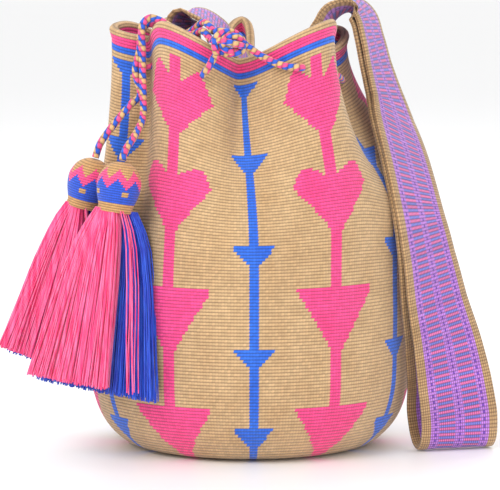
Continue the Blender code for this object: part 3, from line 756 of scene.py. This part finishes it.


# finer stitches than the bag's, pulled tight over a core: small hard bumps in a bold zigzag, with painted
# shade in the gaps between stitches
def makeHeadCrochet():
    material, tree, shader = newMaterial("fine single crochet cotton, worked over a core", Roughness=0.85,
                                         Sheen_Weight=0.2, Sheen_Roughness=0.5)
    stitch, row, relief, chance = stitchNodes(tree, 0.35)
    wave = addNode(tree, "ShaderNodeMath", {"operation": "PINGPONG"}, {0: stitch, 1: headPattern["zigzag"]})
    step = addNode(tree, "ShaderNodeMath", {"operation": "SUBTRACT"}, {0: row, 1: wave})
    pinkZone = between(tree, step, *headPattern["pinkRows"])
    below = addNode(tree, "ShaderNodeMath", {"operation": "GREATER_THAN"},
                    {0: step, 1: headPattern["blueFrom"]})
    blueZone = addNode(tree, "ShaderNodeMath", {"operation": "MULTIPLY"},
                       {0: below, 1: between(tree, row, *headPattern["blueRows"])})
    column = addNode(tree, "ShaderNodeMath", {"operation": "PINGPONG"},
                     {0: stitch, 1: headPattern["flowerEvery"]})
    flower = addNode(tree, "ShaderNodeMath", {"operation": "MULTIPLY"},
                     {0: between(tree, column, *headPattern["flowerStitches"]),
                      1: between(tree, row, *headPattern["flowerRows"])})
    camel, blue, pink = [hexToLinear(headPattern[name]) for name in ("camel", "blue", "pink")]
    colour = addNode(tree, "ShaderNodeMix", {"data_type": "RGBA"}, {0: blueZone, 6: camel, 7: blue})
    for mask, shade in ((pinkZone, pink), (flower, camel)):
        colour = addNode(tree, "ShaderNodeMix", {"data_type": "RGBA"},
                         {0: mask, 6: colour.outputs[2], 7: shade})
    # painted shade between the stitches, the same gap colour as the bag's
    yarnSurfaceWithGapShade(tree, shader, colour.outputs[2], relief, chance, headPattern["bump"], yarnColours["gapShade"])
    return material


# turned profile, as shares of the radius and half height, from the top to the neck
def makeHead(name, spec, material):
    profile = ((0.05, 1.0), (0.42, 0.93), (0.76, 0.70), (0.97, 0.32), (1.0, 0.0), (0.94, -0.34),
               (0.84, -0.62), (0.78, -0.82), (0.78, -1.0), (0.3, -1.0))
    route = smoothRoute([Vector((r * tasselSettings["headRadius"], 0, z * tasselSettings["headHalf"]))
                         for r, z in profile], 0.9 * mm)
    centre = Vector(spec["head"]) * mm
    down = (Vector(spec["end"]) * mm - centre).normalized()
    turned = (-down).to_track_quat("Z", "Y")
    sides = tasselSettings["stitchesAround"]
    points = np.zeros((len(route), sides, 3))
    uv = np.zeros((len(route), sides, 2))
    for i, (_, place) in enumerate(route):
        for j in range(sides):
            turn = 2 * math.pi * j / sides
            points[i, j] = centre + turned @ Vector((place.x * math.cos(turn), place.x * math.sin(turn),
                                                     place.z))
            uv[i, j] = (j, (tasselSettings["headHalf"] - place.z) / tasselSettings["rowHeight"])
    mesh = gridMesh(name + "_crochet_head", points[::-1], uv[::-1], sides)
    piece = addObject(name + "_crochet_head", mesh, material, name + "_tassel")
    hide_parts(name + "_tassel_head")


# spun cotton: soft, slightly shiny where the light runs along the thread
def makeSpunCotton(name, dark, light):
    material, tree, shader = newMaterial(name, Roughness=0.55, Sheen_Weight=0.4, Sheen_Roughness=0.4)
    # stretched along the threads, so tone changes from thread to thread and not along one: random tone that
    # is also painted highlight and painted shade among the dense threads
    place = addNode(tree, "ShaderNodeTexCoord").outputs["Object"]
    streaks = addNode(tree, "ShaderNodeMapping", {}, {
        "Vector": place, "Scale": (1.0, 1.0, tasselSettings["streakStretch"])})
    streak = addNode(tree, "ShaderNodeTexNoise", {}, {"Scale": 1 / tasselSettings["streakSize"],
                                                      "Detail": 1.0, "Vector": streaks})
    share = addNode(tree, "ShaderNodeMapRange", {}, {0: streak, 1: 0.35, 2: 0.65})
    tone = addNode(tree, "ShaderNodeMix", {"data_type": "RGBA"},
                   {0: share, 6: hexToLinear(dark), 7: hexToLinear(light)})
    bump = addNode(tree, "ShaderNodeBump", {}, {"Strength": 0.5, "Distance": tasselSettings["threadBump"],
                                                "Height": streak})
    tree.links.new(tone.outputs[2], shader.inputs["Base Color"])
    tree.links.new(bump.outputs[0], shader.inputs["Normal"])
    return material


# loose threads of one colour, from the neck to a jagged edge
# side is 1 for the skirt's front face and -1 for its back; longer adds to their length
def makeSkirt(name, spec, colourName, side, across, longer, material):
    head = Vector(spec["head"]) * mm
    end = Vector(spec["end"]) * mm
    down = (end - head).normalized()
    neck = head + down * (tasselSettings["headHalf"] - 1.5 * mm)
    heading = tasselSettings["fanHeading"]
    heading = (heading - heading.dot(down) * down).normalized()
    face = heading.cross(down)
    half = spec["thickness"] * mm / 2
    curve = bpy.data.curves.new(name, "CURVE")
    curve.dimensions = "3D"
    curve.bevel_depth = tasselSettings["threadRadius"]
    curve.bevel_resolution = 0
    curve.use_fill_caps = True
    for _ in range(tasselSettings["threads"]):
        strays = side > 0 and random.random() < tasselSettings["strayShare"]
        low, high = (tasselSettings["strayFrom"], across[0]) if strays else across
        lie = random.uniform(low, high)
        deep = random.uniform(-0.95, 0.95)
        reach = random.uniform(tasselSettings["shortest"], 1.0) + longer
        sway = random.uniform(-1, 1)
        phase = random.uniform(0, 6.28)
        spline = curve.splines.new("POLY")
        steps = tasselSettings["threadSteps"]
        spline.points.add(steps - 1)
        for k in range(steps):
            along = k / (steps - 1) * reach
            width = np.interp(along, tasselSettings["rows"], tasselSettings["widths"])
            width *= spec["halfWidth"] * mm
            thick = np.interp(along, (0, 0.2, 1), (tasselSettings["neckHalf"], half, half))
            wave = (math.sin(along * 5 + phase) * 0.5 + sway * along * 1.2) * mm    # combed, not straight
            place = (neck.lerp(end, along) + face * (side * thick + deep * thick)
                     + heading * (lie * width * 0.97 + wave))
            spline.points[k].co = (*place, 1)
    piece = addObject(f"{name}_{colourName}_skirt", curve, material, name + "_tassel")
    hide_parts(f"{name}_tassel_{colourName}_threads")


headCrochet = makeHeadCrochet()
pinkYarn = makeSpunCotton("pink spun cotton yarn", *tasselSettings["pink"])
blueYarn = makeSpunCotton("blue spun cotton yarn", *tasselSettings["blue"])
for name in ("rear", "front"):
    spec = tasselSettings[name]
    makeHead(name, spec, headCrochet)
    makeSkirt(name, spec, "pink", 1, spec["pinkAcross"], 0.0, pinkYarn)
    makeSkirt(name, spec, "blue", -1, tasselSettings["blueAcross"], tasselSettings["blueLonger"], blueYarn)
print("tassels made")
